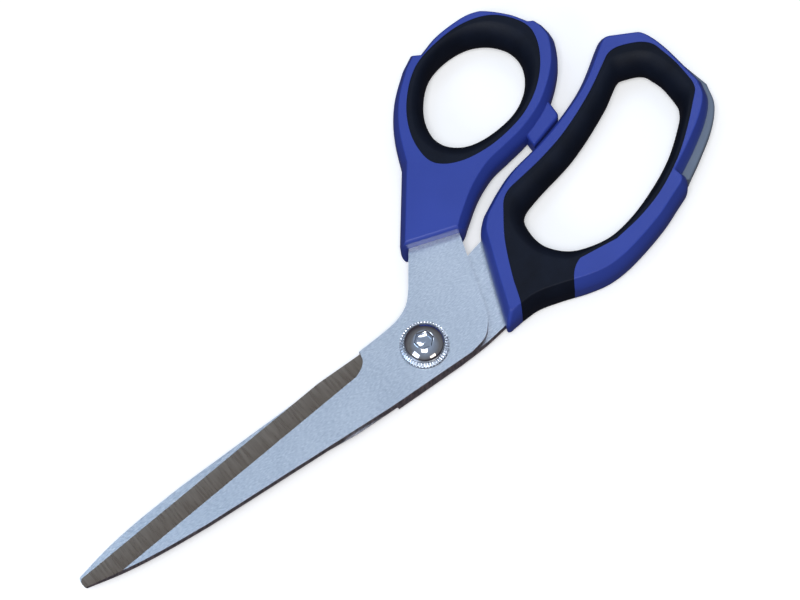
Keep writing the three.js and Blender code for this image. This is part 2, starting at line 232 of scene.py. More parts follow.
THUMB_GRIP = ring_through(
    (-36.3, -51), (-37.7, -60.2), (-43.2, -69.8), (-52.5, -78), (-63.5, -81.2), (-74, -81.5),
    (-82.8, -78.4), (-88.6, -71.5), (-89.8, -65.5), (-86.3, -57), (-79.5, -49.4), (-71, -44.2),
    (-62.5, -41.8), (-53.5, -41), (-44.5, -42.3), (-38.2, -46))

THUMB_HOLE = ring_through(
    (-43.8, -57.5), (-47, -66.6), (-55.2, -75.2), (-64.4, -78.2), (-73.6, -76.6), (-80.8, -69.8),
    (-81.9, -62), (-77.8, -54), (-70.5, -48.4), (-62, -46.2), (-52, -46.8), (-45.6, -51))


FINGER_CORNER = (-23.7, 10.7)  # where the finger handle ends at the pivot


def finger_shell_line(lip=True):
    """The finger shell's outline, with or without its lip as on the thumb shell."""
    if lip:
        back = (
            ("bend", (-97.9, 5.8), (-98.6, 3.2)),
            ("line", (-98.3, 1.2)),
            ("curve", (-106.2, -3.1), (-115.2, -8.9), (-120.7, -14.3), (-122.7, -20)),
            ("line", (-121.6, -34.1)),
            ("bend", (-120.4, -45.6), (-116.6, -47.2)),
        )
    else:
        back = (
            ("bend", (-98.3, 5.6), (-99.6, 3.8)),
            ("curve", (-107, -0.5), (-116, -6.5), (-121.9, -12.6), (-124.3, -19.6)),
            ("line", (-121.6, -35)),
            ("bend", (-120.4, -45.6), (-116.6, -47.2)),
        )
    return outline(
        (-35.4, -19.4),
        ("curve", (-32.4, -12), (-28.4, -1.8)),
        ("line", FINGER_CORNER, (-30.2, 9.9)),
        ("curve", (-36.6, 9.8), (-43.6, 11.6), (-53.1, 14.7), (-60.4, 16), (-69, 15.3),
         (-83, 11.8), (-92.4, 8.1)),
        ("line", (-95.4, 6.9)),
        *back,
        ("line", (-108.9, -51.4)),
        ("bend", (-106.3, -52.6), (-103.4, -50.6)),
        ("curve", (-91, -42.4), (-79, -37.3), (-67.2, -33.8), (-55.6, -31.4), (-47.9, -28.4),
         (-40.2, -24.4)),
        ("bend", (-37, -22.1), (-35.4, -19.4)),
    )


def finger_grip_line():
    """The opening in the finger shell that the soft grip fills, open over the neck."""
    return outline(
        (-27.6, 18),
        ("line", (-28.4, 12.8)),
        ("curve", (-31.2, 7.4), (-34.2, -0.8), (-39.8, -12.6), (-46, -21.8)),
        ("bend", (-48.6, -25.6), (-53.6, -26)),
        ("curve", (-64.8, -27.9), (-76, -30.9), (-90.2, -37), (-102.6, -44.2)),
        ("bend", (-105.6, -46.2), (-110.6, -44)),
        ("bend", (-117.4, -41.4), (-118, -37)),
        ("curve", (-119.2, -29.4), (-119.3, -22)),
        ("bend", (-119.2, -18.8), (-117.4, -17.2)),
        ("curve", (-108.2, -9), (-99, -2.2), (-88, 3.5), (-78, 6.6), (-67.5, 8.3)),
        ("curve", (-60, 7.4), (-54.6, 6.8)),
        ("bend", (-49.6, 8), (-46.6, 15.6)),
        ("line", (-46.4, 22)),
    )


FINGER_HOLE = ring_through(
    (-48.7, -10.5), (-50.4, -17), (-57, -20.2), (-75.6, -24.8), (-93.4, -32.4), (-101.6, -37.4),
    (-103.7, -38.1), (-105.8, -37.6), (-109.2, -36.2), (-111, -34.7), (-111.8, -32.6),
    (-112.9, -28.6), (-112.9, -21.4), (-112.2, -18.4), (-109.2, -14.4), (-97.8, -5.6),
    (-85.8, 0.3), (-74, 4.2), (-64.6, 5), (-55.6, 1.7), (-50, -4.2))


# ---------------------------------------------------------------- solids


def polygon(bm, path, height):
    """A face of the outline at one height."""
    face = bm.faces.new([bm.verts.new((point.x, point.y, height)) for point in path])
    face.normal_update()
    if face.normal.z < 0:
        face.normal_flip()
    return face


def extruded(bm, faces, shift):
    """Extrudes the faces by the shift and returns what they become."""
    made = bmesh.ops.extrude_face_region(bm, geom=faces)["geom"]
    bmesh.ops.translate(bm, vec=shift, verts=[v for v in made if isinstance(v, bmesh.types.BMVert)])
    return [f for f in made if isinstance(f, bmesh.types.BMFace)]


def plate(path, bottom, top):
    """A solid of the outline between two heights."""
    bm = bmesh.new()
    extruded(bm, [polygon(bm, path, bottom)], (0, 0, top - bottom))
    bmesh.ops.recalc_face_normals(bm, faces=bm.faces)
    return bm


def rolled(path, bottom, top, flank, under=None):
    """A plate whose flanks draw in towards its upper face by the flank's pairs of inset and
    height from the middle, and by another list of pairs towards its lower face if given."""
    bm = bmesh.new()
    middle, rise = (bottom + top) / 2, flank[0][1]
    extruded(bm, [polygon(bm, path, middle - rise)], (0, 0, 2 * rise))
    bmesh.ops.recalc_face_normals(bm, faces=bm.faces)
    for side, pairs in ((1, flank), (-1, under or flank)):
        face = next(f for f in bm.faces if f.normal.z * side > 0.9)
        for (inset, rise), (next_inset, next_rise) in zip(pairs, pairs[1:]):
            bmesh.ops.inset_region(
                bm, faces=[face], thickness=next_inset - inset, depth=next_rise - rise,
                use_even_offset=True)
    return bm


def turned(section, steps):
    """A solid turned round the Z axis from its half section of radius and height."""
    bm = bmesh.new()
    verts = [bm.verts.new((radius, 0, height)) for radius, height in section]
    edges = [bm.edges.new(pair) for pair in zip(verts, verts[1:])]
    if section[0][0] > 0:
        edges.append(bm.edges.new((verts[-1], verts[0])))
    bmesh.ops.spin(
        bm, geom=verts + edges, axis=(0, 0, 1), cent=(0, 0, 0), angle=2 * math.pi, steps=steps,
        use_merge=True)
    bmesh.ops.remove_doubles(bm, verts=bm.verts, dist=SAME)
    bmesh.ops.recalc_face_normals(bm, faces=bm.faces)
    return bm


def cylinder(radius, bottom, top, centre=(0, 0), sides=64):
    """An upright cylinder, or a prism when it has few sides."""
    bm = bmesh.new()
    place = Matrix.Translation((*centre, (bottom + top) / 2))
    bmesh.ops.create_cone(
        bm, cap_ends=True, segments=sides, radius1=radius, radius2=radius, depth=top - bottom,
        matrix=place)
    return bm


def piece(name, bm):
    """An object from a bmesh in millimetres, at its place in metres."""
    bmesh.ops.scale(bm, vec=(MM, MM, MM), verts=bm.verts)
    mesh = bpy.data.meshes.new(name)
    bm.to_mesh(mesh)
    bm.free()
    made = bpy.data.objects.new(name, mesh)
    bpy.context.scene.collection.objects.link(made)
    return made


def as_bmesh(target):
    """The object's mesh as a bmesh in millimetres. The object is removed."""
    mesh = target.data
    bm = bmesh.new()
    bm.from_mesh(mesh)
    bmesh.ops.scale(bm, vec=(1 / MM,) * 3, verts=bm.verts)
    bpy.data.objects.remove(target)
    bpy.data.meshes.remove(mesh)
    return bm


def combine(target, tool, operation="DIFFERENCE"):
    """Cuts, joins or crosses the target with a bmesh in millimetres, which it uses up."""
    cutter = piece("cutter", tool)
    modifier = target.modifiers.new("combine", "BOOLEAN")
    modifier.object = cutter
    modifier.operation = operation
    modifier.solver = "EXACT"
    depsgraph = bpy.context.evaluated_depsgraph_get()
    result = bpy.data.meshes.new_from_object(target.evaluated_get(depsgraph), depsgraph=depsgraph)
    target.modifiers.clear()
    spent = [target.data, cutter.data]
    target.data = result
    result.name = target.name
    bpy.data.objects.remove(cutter)
    for mesh in spent:
        bpy.data.meshes.remove(mesh)
    if not result.polygons:
        raise RuntimeError(f"{target.name} has nothing left after a cut")


def clean(target):
    """Merges points that the cuts left nearly doubled and dissolves what has no size."""
    closest = 0.002 * MM
    bm = bmesh.new()
    bm.from_mesh(target.data)
    bmesh.ops.remove_doubles(bm, verts=bm.verts, dist=closest)
    bmesh.ops.dissolve_degenerate(bm, edges=bm.edges, dist=closest)
    bm.to_mesh(target.data)
    bm.free()


def dress(target, half, materials, node, sharp=32):
    """Shades the piece, gives it its materials and says what it rides on and stands for. Edges
    that turn by more than the sharp angle, in degrees, stay sharp."""
    clean(target)
    for material in materials:
        target.data.materials.append(material)
    target.data.shade_smooth()
    target.data.set_sharp_from_angle(angle=math.radians(sharp))
    weighted = target.modifiers.new("weighted normals", "WEIGHTED_NORMAL")
    weighted.keep_sharp = True
    weighted.weight = 80
    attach(target, BODY[half])
    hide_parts(node)


# ---------------------------------------------------------------- materials


def linear(code):
    """Linear colour of an sRGB hex code."""
    channels = [int(code[i:i + 2], 16) / 255 for i in (1, 3, 5)]
    return tuple(c / 12.92 if c <= 0.04045 else ((c + 0.055) / 1.055) ** 2.4 for c in channels)


def add_node(tree, kind, settings=None, links=None):
    """Adds a node. Settings are values of its inputs, by name or number, or of its attributes.
    Links are outputs of other nodes, by the name or number of the input they feed."""
    node = tree.nodes.new(kind)
    for name, value in (settings or {}).items():
        if isinstance(name, int) or name in node.inputs:
            node.inputs[name].default_value = value
        else:
            setattr(node, name, value)
    for name, source in (links or {}).items():
        tree.links.new(source, node.inputs[name])
    return node


def new_material(name, shader, **patterns):
    """A material with these settings on its shader, and a noise on object coordinates for each
    pattern. A pattern has the size of its features in millimetres, and may have detail, roughness,
    a stretch along its axes and a turn about Z. Returns the noises too."""
    material = bpy.data.materials.new(name)
    material.use_nodes = True
    tree = material.node_tree
    tree.nodes.clear()
    surface = add_node(tree, "ShaderNodeBsdfPrincipled", shader)
    add_node(tree, "ShaderNodeOutputMaterial", links={"Surface": surface.outputs["BSDF"]})
    noises = {}
    for key, pattern in patterns.items():
        place = add_node(tree, "ShaderNodeTexCoord").outputs["Object"]
        axes = add_node(tree, "ShaderNodeMapping", {
            "Rotation": (0, 0, math.radians(pattern.get("turn", 0))),
            "Scale": [1 / stretch for stretch in pattern.get("stretch", (1, 1, 1))],
        }, {"Vector": place})
        noises[key] = add_node(tree, "ShaderNodeTexNoise", {
            "Scale": 1 / (pattern["size"] * MM),
            "Detail": pattern.get("detail", 2),
            "Roughness": pattern.get("roughness", 0.5),
        }, {"Vector": axes.outputs["Vector"]}).outputs["Fac"]
    return material, tree, surface, noises


MOST = (0.3, 0.7)  # the range that most of a noise's values lie in
WHOLE = (0, 1)


def vary(tree, surface, colour, rough, relief=None):
    """Varies the surface over its patterns: the colour over a range of one pattern between two
    linear tones, the roughness between two levels, and the relief to a depth in millimetres."""
    pattern, (start, end), dark, light = colour
    share = add_node(
        tree, "ShaderNodeMapRange", {"From Min": start, "From Max": end}, {"Value": pattern})
    tone = add_node(
        tree, "ShaderNodeMix", {"data_type": "RGBA", 6: (*dark, 1), 7: (*light, 1)},
        {0: share.outputs["Result"]})
    tree.links.new(tone.outputs[2], surface.inputs["Base Color"])
    pattern, smoothest, roughest = rough
    level = add_node(tree, "ShaderNodeMapRange", {
        "From Min": MOST[0], "From Max": MOST[1], "To Min": smoothest, "To Max": roughest,
    }, {"Value": pattern})
    tree.links.new(level.outputs["Result"], surface.inputs["Roughness"])
    if relief:
        pattern, depth = relief
        bump = add_node(
            tree, "ShaderNodeBump", {"Strength": 1.0, "Distance": depth * MM}, {"Height": pattern})
        tree.links.new(bump.outputs["Normal"], surface.inputs["Normal"])


def satin_steel():
    # Stainless blade steel, surface-ground and then brushed both ways: a soft pale sheen with a
    # fine cloth of short scratches. The real lines are 0.05 mm apart, drawn 0.28 mm so they show.
    scratch = {"size": 0.28, "detail": 3, "stretch": (4, 1, 1)}
    material, tree, surface, noises = new_material(
        "cross_brushed_stainless", {"Metallic": 1.0}, there={**scratch, "turn": -35},
        back={**scratch, "turn": 62}, cloud={"size": 14})
    cloth = add_node(
        tree, "ShaderNodeMath", {"operation": "MULTIPLY"},
        {0: noises["there"], 1: noises["back"]}).outputs["Value"]
    patches = add_node(
        tree, "ShaderNodeMapRange", {"From Min": MOST[0], "From Max": MOST[1], "To Max": 0.1},
        {"Value": noises["cloud"]}).outputs["Result"]
    tone = add_node(
        tree, "ShaderNodeMath", {"operation": "MULTIPLY_ADD", 1: 1.6},
        {0: cloth, 2: patches}).outputs["Value"]
    vary(
        tree, surface, (tone, WHOLE, linear("#9aa6b4"), linear("#f0f4f8")),
        (noises["there"], 0.28, 0.42), (cloth, 0.012))
    return material


def ground_steel():
    # The hollow-ground bevel, cut across the blade by a coarse wheel: dark, with streaks from the
    # cutting edge to the flat. Wheel lines are 0.1 mm apart, drawn up to 0.8 mm so they show.
    material, tree, surface, noises = new_material(
        "wheel_ground_steel", {"Metallic": 1.0},
        streaks={"size": 0.8, "detail": 4, "stretch": (1, 14, 14), "turn": 14, "roughness": 0.6},
        fine={"size": 0.3, "stretch": (1, 20, 20), "turn": 8})
    vary(
        tree, surface, (noises["streaks"], (0.25, 0.75), linear("#aba298"), linear("#c9bfb2")),
        (noises["streaks"], 0.22, 0.4), (noises["fine"], 0.01))
    return material


def sheared_steel():
    # The blanked edges of the blades: rough, and a little brown where the die tore the steel. A
    # tear's grains are 0.2 mm across, drawn 0.6 mm so they show.
    material, tree, surface, noises = new_material(
        "sheared_steel", {"Metallic": 1.0}, tear={"size": 0.6, "detail": 3, "stretch": (1, 1, 6)})
    vary(
        tree, surface, (noises["tear"], MOST, linear("#8f8a92"), linear("#d2c6ca")),
        (noises["tear"], 0.38, 0.52), (noises["tear"], 0.01))
    return material


def plated_steel(name, tone, rough):
    # Nickel-chrome or bright zinc plate over turned steel: mirror-like or bright, with faint haze
    # from handling.
    material, tree, surface, noises = new_material(
        name, {"Metallic": 1.0}, haze={"size": 1.5, "detail": 3})
    vary(
        tree, surface, (noises["haze"], WHOLE, linear("#b9bcc4"), linear(tone)),
        (noises["haze"], rough * 0.6, rough * 1.5))
    return material


def zinc_steel():
    # Zinc-plated stamped steel on the back of the pivot: dull grey with cloudy patches.
    material, tree, surface, noises = new_material(
        "zinc_plated_steel", {"Metallic": 1.0}, cloud={"size": 2.2, "detail": 4, "roughness": 0.6},
        grain={"size": 0.3})
    vary(
        tree, surface, (noises["cloud"], WHOLE, linear("#85888e"), linear("#b4b6b8")),
        (noises["cloud"], 0.28, 0.5), (noises["grain"], 0.006))
    return material


def moulded_plastic(name, base, rough, grain, variation):
    # Injection-moulded polypropylene: an even colour with a low satin gloss, faint flow clouding
    # and the grain of a spark-eroded mould, which is 0.1 mm and drawn coarser so it shows.
    material, tree, surface, noises = new_material(
        name, {"IOR": 1.49, "Specular IOR Level": 0.25}, cloud={"size": 18},
        scuffs={"size": 0.6, "detail": 3, "stretch": (5, 1, 1), "turn": 25}, grain={"size": grain})
    deep = [channel * (1 - variation) for channel in base]
    pale = [min(1, channel * (1 + variation)) for channel in base]
    vary(
        tree, surface, (noises["cloud"], MOST, deep, pale),
        (noises["scuffs"], rough * 0.93, rough * 1.07), (noises["grain"], 0.004))
    return material


def soft_rubber(base):
    # Thermoplastic rubber moulded over the shell: matt and slightly dusty, nearly black, with a
    # broad weak sheen where it rolls into the holes. Its grain is 0.1 mm, drawn 0.35 mm.
    material, tree, surface, noises = new_material(
        "soft_touch_rubber", {"IOR": 1.45, "Specular IOR Level": 0.18},
        dust={"size": 9, "detail": 4, "roughness": 0.6}, grain={"size": 0.35})
    clean_tone = [channel * 0.75 for channel in base]
    dusty_tone = [channel * 1.3 for channel in base]
    vary(
        tree, surface, (noises["dust"], MOST, clean_tone, dusty_tone),
        (noises["grain"], 0.5, 0.64), (noises["grain"], 0.02))
    return material


def natural_nylon():
    # Natural nylon 6: milky and faintly translucent.
    material, tree, surface, noises = new_material(
        "natural_nylon", {"IOR": 1.53, "Subsurface Weight": 0.2, "Subsurface Scale": 0.001},
        cloud={"size": 1.2, "detail": 3})
    vary(
        tree, surface, (noises["cloud"], WHOLE, linear("#cfcfc6"), linear("#e2e1da")),
        (noises["cloud"], 0.4, 0.52))
    return material


# ---------------------------------------------------------------- settings


class ScissorsSizes(bpy.types.PropertyGroup):
    """Sizes that change the look and not the fit."""

    flank_inset: FloatProperty(
        name="Flank inset", description="How far a handle's flank draws in below its face",
        default=1.8 * MM, min=0.2 * MM, max=3 * MM, subtype="DISTANCE")
    flank_start: FloatProperty(
        name="Flank start", description="Height above the middle where the flank starts to draw in",
        default=1.5 * MM, min=0, max=5 * MM, subtype="DISTANCE")
    edge_round: FloatProperty(
        name="Edge radius", description="Rounding of the edge between flank and face",
        default=0.45 * MM, min=0.1 * MM, max=1 * MM, subtype="DISTANCE")
    neck_round: FloatProperty(
        name="Neck radius", description="Rounding of the thumb shell's squared-off neck",
        default=1.3 * MM, min=0.3 * MM, max=2 * MM, subtype="DISTANCE")
    grip_sink: FloatProperty(
        name="Grip sink", description="How far the soft grips lie below the shell faces",
        default=0.15 * MM, min=0, max=1 * MM, subtype="DISTANCE")
    grip_roll: FloatProperty(
        name="Grip roll", description="Widest roll from a soft face into its hole",
        default=6.5 * MM, min=1 * MM, max=12 * MM, subtype="DISTANCE")
    grind_width: FloatProperty(
        name="Grind width", description="Width of the ground bevel behind the cutting edge",
        default=7.2 * MM, min=3 * MM, max=9 * MM, subtype="DISTANCE")
    edge_land: FloatProperty(
        name="Edge land", description="Steel left at the cutting edge",
        default=0.3 * MM, min=0.1 * MM, max=1 * MM, subtype="DISTANCE")
    hollow: FloatProperty(
        name="Hollow", description="Depth of the hollow in the ground bevel",
        default=0.1 * MM, min=0, max=0.4 * MM, subtype="DISTANCE")
    washer_teeth: IntProperty(
        name="Washer teeth", description="Teeth round the lock washer", default=48, min=12, max=96)


class ScissorsFinishes(bpy.types.PropertyGroup):
    """Colours of the handles."""

    shell: FloatVectorProperty(
        name="Shell", description="Moulded handle shells", subtype="COLOR", min=0, max=1,
        default=linear("#33459a"))
    grip: FloatVectorProperty(
        name="Grip", description="Soft grips", subtype="COLOR", min=0, max=1,
        default=linear("#0d1320"))
    rim: FloatVectorProperty(
        name="Rim", description="Back rims", subtype="COLOR", min=0, max=1,
        default=linear("#6c7889"))


def lengths(context):
    """The settings that are lengths, in millimetres and without the noise of their seventh digit."""
    sizes = context.scene.scissors_sizes
    names = [name for name in ScissorsSizes.__annotations__ if name != "washer_teeth"]
    return SimpleNamespace(**{name: round(getattr(sizes, name) / MM, 4) for name in names})


def flank_profile(sizes, sink=0.0):
    """Pairs of inset and height from the middle: a flank that draws in more and more, and then the
    rounded edge of a face that lies sunk by so much."""
    knee = MIDDLE - sink - sizes.edge_round
    steps, curl = 5, 1.7
    pairs = [(0.0, sizes.flank_start)]
    for i in range(1, steps + 1):
        share = i / steps
        height = sizes.flank_start + (knee - sizes.flank_start) * share
        pairs.append((sizes.flank_inset * share**curl, height))
    steps, lean = 3, 0.1
    for i in range(1, steps + 1):
        angle = math.pi / 2 * i / steps
        inset = sizes.flank_inset + sizes.edge_round * (1 - math.cos(angle)) + lean * i / steps
        pairs.append((inset, knee + sizes.edge_round * math.sin(angle)))
    return pairs


# ---------------------------------------------------------------- blades


def grinding_wheel(half, sizes):
    """What the wheel takes off one blade: a hollow wedge along the edge that runs out in a curve
    at the ricasso."""
    side = SIDE[half]
    thickness = STEEL[half][1] - STEEL[half][0]
    width, land = sizes.grind_width, sizes.edge_land
    slope = (thickness - land) / width
    past, steps = 3.0, 8
    section = [(-past, land - past * slope)]
    for i in range(steps + 1):
        share = i / steps
        hollow = sizes.hollow * 4 * share * (1 - share)
        section.append((share * width, land + share * (thickness - land) - hollow))
    section += [(width + past, thickness + past * slope), (-past, thickness + past * slope)]
    edge = Vector((EDGE_TIP.x - HEEL.x, side * (EDGE_TIP.y - HEEL.y), 0)).normalized()
    up = Vector((0, 0, side))
    inward = up.cross(edge)
    run_up, run = 25, 130
    start = Vector((HEEL.x, side * HEEL.y, MIDDLE + side * (STEEL["front"][0] - MIDDLE)))
    start -= edge * run_up
    bm = bmesh.new()
    corners = [bm.verts.new(start + inward * u + up * w) for u, w in section]
    extruded(bm, [bm.faces.new(corners)], edge * run)
    bmesh.ops.recalc_face_normals(bm, faces=bm.faces)
    wheel = piece("wheel", bm)
    reach = outline(
        (17.4, side * -15),
        ("line", (17.4, side * -9.8)),
        ("curve", (18.6, side * -6.6), (23, side * -4), (32, side * -2)),
        ("line", (140, side * 20), (140, side * -15)),
    )
    combine(wheel, plate(reach, -5 * OVER, FACE + 5 * OVER), "INTERSECT")
    return as_bmesh(wheel)


def make_blade(half, sizes, finishes):
    """A blade. Its finishes are those of the flats, the ground bevel and the sheared sides, which
    are told apart by how far their faces lean."""
    bottom, top = STEEL[half]
    blade = piece(f"{half}_blade_ground", plate(steel_outline(half), bottom, top))
    combine(blade, grinding_wheel(half, sizes))
    combine(blade, cylinder(BUSH_HOLE, bottom - OVER, top + OVER))
    for centre in TANG_HOLES[half]:
        combine(blade, cylinder(PEG_HOLE, bottom - OVER, top + OVER, centre, 32))
    dress(blade, half, finishes, f"{half}_blade", sharp=12)
    for face in blade.data.polygons:
        level = abs(face.normal.z)
        face.material_index = 0 if level > 0.995 else 1 if level > 0.05 else 2


class SCISSORS_OT_blades(bpy.types.Operator):
    """Model both blades with their tangs, ground bevels and holes"""

    bl_idname = "scissors.blades"
    bl_label = "Blades"

    def execute(self, context):
        finishes = satin_steel(), ground_steel(), sheared_steel()
        for half in BODY:
            make_blade(half, lengths(context), finishes)
        return {"FINISHED"}


# ---------------------------------------------------------------- handles


def tang_pocket(half):
    """Room for a tang inside its handle. The moulding runs through the tang's holes as pegs."""
    bottom, top = STEEL[half]
    steel = grown(steel_outline(half), TANG_GAP)
    pocket = piece("pocket", plate(steel, bottom - TANG_GAP, top + TANG_GAP))
    for centre in TANG_HOLES[half]:
        combine(pocket, cylinder(PEG_HOLE - TANG_GAP, bottom - OVER, top + OVER, centre, 32))
    return as_bmesh(pocket)


def round_corner(bm, corner, radius):
    """Rounds the mitre that stands over a sharp corner of the outline."""
    reach = 4.5
    mitre = [edge for edge in bm.edges
             if abs(edge.verts[0].co.z - edge.verts[1].co.z) > SAME
             and all((vert.co.xy - corner).length < reach for vert in edge.verts)]
    bmesh.ops.bevel(
        bm, geom=mitre, offset=radius, affect="EDGES", segments=4, profile=0.5, material=-1,
        clamp_overlap=True)
    bmesh.ops.recalc_face_normals(bm, faces=bm.faces)


def neck_block(sizes):
    """A block whose rounded end squares off the thumb shell's neck."""
    path = outline(
        (-13.6, -32.4),
        ("bend", (-12, -30.2), (-14.6, -29.4)),
        ("line", (-30.2, -24.4)),
        ("bend", (-32.5, -23.7), (-34.3, -25.2)),
        ("line", (-45, -10), (-110, -10), (-110, -100), (0, -100), (0, -60)),
    )
    past, radius, steps = 0.02, sizes.neck_round, 6
    start = MIDDLE + past - radius
    flank = []
    for i in range(steps + 1):
        angle = math.pi / 2 * i / steps
        flank.append((radius * (1 - math.cos(angle)), start + radius * math.sin(angle)))
    return rolled(path, -past, FACE + past, flank)


def finger_body(sizes, sink=0.0):
    """The whole finger handle, of which the shell and the soft grip are parts."""
    bm = rolled(finger_shell_line(), sink, FACE - sink, flank_profile(sizes, sink))
    round_corner(bm, Vector(FINGER_CORNER), sizes.neck_round)
    return bm


def closing_stop():
    """The stub between the handles that stops them closing too far."""
    path = outline(
        (-80.4, -48),
        ("line", (-80, -39.6)),
        ("bend", (-79.8, -38.1), (-78.4, -37.7)),
        ("line", (-67.2, -34.3), (-67.4, -42)),
    )
    bottom, top = 3.5, 11
    flank = [(0, 2.7), (0.1, 3.1), (0.35, 3.5), (0.6, 3.68), (0.9, (top - bottom) / 2)]
    return rolled(path, bottom, top, flank)


def make_shell(name, sizes, material):
    """A handle shell, cut away for the back rim, the soft grip and the tang."""
    half = HANDLE_HALF[name]
    lip_bottom = RIM_TOP + 0.1
    if name == "thumb":
        bm = rolled(thumb_shell_line(), 0, FACE, flank_profile(sizes))
        shell = piece("thumb_shell_moulded", bm)
        combine(shell, neck_block(sizes), "INTERSECT")
        combine(shell, plate(thumb_rim_sector(), -OVER, lip_bottom))
        combine(shell, closing_stop(), "UNION")
        combine(shell, plate(THUMB_GRIP, -OVER, FACE + OVER))
    else:
        shell = piece("finger_shell_moulded", finger_body(sizes))
        combine(shell, plate(finger_rim_sector(), -OVER, lip_bottom))
        combine(shell, plate(finger_grip_line(), -OVER, FACE + OVER))
    combine(shell, tang_pocket(half))
    dress(shell, half, [material], f"{name}_shell")


class SCISSORS_OT_shells(bpy.types.Operator):
    """Model the two moulded handle shells"""

    bl_idname = "scissors.shells"
    bl_label = "Handle shells"

    def execute(self, context):
        colour = context.scene.scissors_finishes.shell
        material = moulded_plastic("blue_polypropylene", colour, 0.3, 0.5, 0.05)
        for name in HANDLE_HALF:
            make_shell(name, lengths(context), material)
        return {"FINISHED"}


def roll_room(hole, grip_line, widest):
    """How far the grip can roll out at each point of its hole before it reaches the shell."""
    wall = plate(grip_line, -5 * OVER, FACE + 5 * OVER)
    tree = BVHTree.FromBMesh(wall)
    wall.free()
    height = MIDDLE + 0.013  # off the middle, so that no ray runs along an edge
    margin = 0.25
    room = []
    for point, normal in zip(hole, outward(hole)):
        start = Vector((point.x, point.y, height))
        distance = tree.ray_cast(start, Vector((normal.x, normal.y, 0)))[3]
        room.append(min(widest, (distance or widest) - margin))
    for _ in range(4):
        room = [(a + 2 * b + c) / 4 for a, b, c in zip(room[-1:] + room, room, room[1:] + room[:1])]
    return room


def hole_mould(hole, grip_line, top, sizes):
    """The mould for a finger hole: the hole's own outline at the middle, and flaring out towards
    both faces as far as the shell allows."""
    normals = outward(hole)
    room = roll_room(hole, grip_line, sizes.grip_roll)
    height = top - MIDDLE + 0.12  # a little past the face, so that the flare crosses it
    steps, fullness, past = 12, 0.9, 2
    bm = bmesh.new()
    start = [bm.verts.new((point.x, point.y, MIDDLE)) for point in hole]
    middle = [bm.edges.new(pair) for pair in zip(start, start[1:] + start[:1])]
    ends = []
    for direction in (1, -1):
        edges = middle
        order = {vert: i for i, vert in enumerate(start)}
        for step in range(1, steps + 2):
            made = bmesh.ops.extrude_edge_only(bm, edges=edges)["geom"]
            edges = [part for part in made if isinstance(part, bmesh.types.BMEdge)]
            ring = {}
            for vert in (part for part in made if isinstance(part, bmesh.types.BMVert)):
                below = (edge.other_vert(vert) for edge in vert.link_edges)
                ring[vert] = next(order[other] for other in below if other in order)
            order = ring
            angle = min(1, step / steps) * math.pi / 2
            flare = 1 - math.cos(angle) ** fullness
            lift = height * math.sin(angle) + (past if step > steps else 0)
            for vert, i in ring.items():
                place = hole[i] + normals[i] * room[i] * flare
                vert.co = (*place, MIDDLE + direction * lift)
        ends.append(edges)
    for edges in ends:
        bmesh.ops.edgeloop_fill(bm, edges=edges)
    bmesh.ops.recalc_face_normals(bm, faces=bm.faces)
    return bm


def make_grip(name, sizes, material):
    """A soft grip, with its hole's rolled edges and room for the tang."""
    half = HANDLE_HALF[name]
    top = FACE - sizes.grip_sink
    if name == "thumb":
        grip = piece("thumb_grip_soft", plate(grown(THUMB_GRIP, -SEAM), FACE - top, top))
        hole, line = THUMB_HOLE, THUMB_GRIP
    else:
        grip = piece("finger_grip_soft", finger_body(sizes, sizes.grip_sink))
        hole, line = FINGER_HOLE, finger_grip_line()
        combine(grip, plate(grown(line, -SEAM), -OVER, FACE + OVER), "INTERSECT")
    combine(grip, hole_mould(hole, line, top, sizes))
    combine(grip, tang_pocket(half))
    dress(grip, half, [material], f"{name}_soft_grip")


class SCISSORS_OT_grips(bpy.types.Operator):
    """Model the soft grips round the finger holes"""

    bl_idname = "scissors.grips"
    bl_label = "Soft grips"

    def execute(self, context):
        material = soft_rubber(context.scene.scissors_finishes.grip)
        for name in HANDLE_HALF:
            make_grip(name, lengths(context), material)
        return {"FINISHED"}


def make_rim(name, material):
    """A back rim: the proud outer wall behind the shell's lip, with a rounded upper edge."""
    upper = [(0, 0.9), (0.08, 1.2), (0.3, 1.55), (0.6, 1.72), (1.0, RIM_TOP - MIDDLE)]
    lower = [(0, 0.9), (0.3, 3.0), (0.8, 5.2), (1.4, 6.6), (2.0, 7.3), (2.4, MIDDLE)]
    if name == "thumb":
        line = thumb_shell_line(lip=False)
        sector = thumb_rim_sector()
        grip_line = THUMB_GRIP
    else:
        line = finger_shell_line(lip=False)
        sector = finger_rim_sector()
        grip_line = finger_grip_line()
    sector_gap, grip_gap = 0.02, 0.05
    rim = piece(f"{name}_rim_moulded", rolled(line, 0, FACE, upper, lower))
    combine(rim, plate(grown(sector, -sector_gap), -OVER, FACE + OVER), "INTERSECT")
    combine(rim, plate(grown(grip_line, grip_gap), -OVER, FACE + OVER))
    dress(rim, HANDLE_HALF[name], [material], f"{name}_back_rim")


class SCISSORS_OT_rims(bpy.types.Operator):
    """Model the grey rims on the backs of the handles"""

    bl_idname = "scissors.rims"
    bl_label = "Back rims"

    def execute(self, context):
        colour = context.scene.scissors_finishes.rim
        material = moulded_plastic("grey_polypropylene", colour, 0.45, 0.4, 0.08)
        for name in HANDLE_HALF:
            make_rim(name, material)
        return {"FINISHED"}


# ---------------------------------------------------------------- pivot


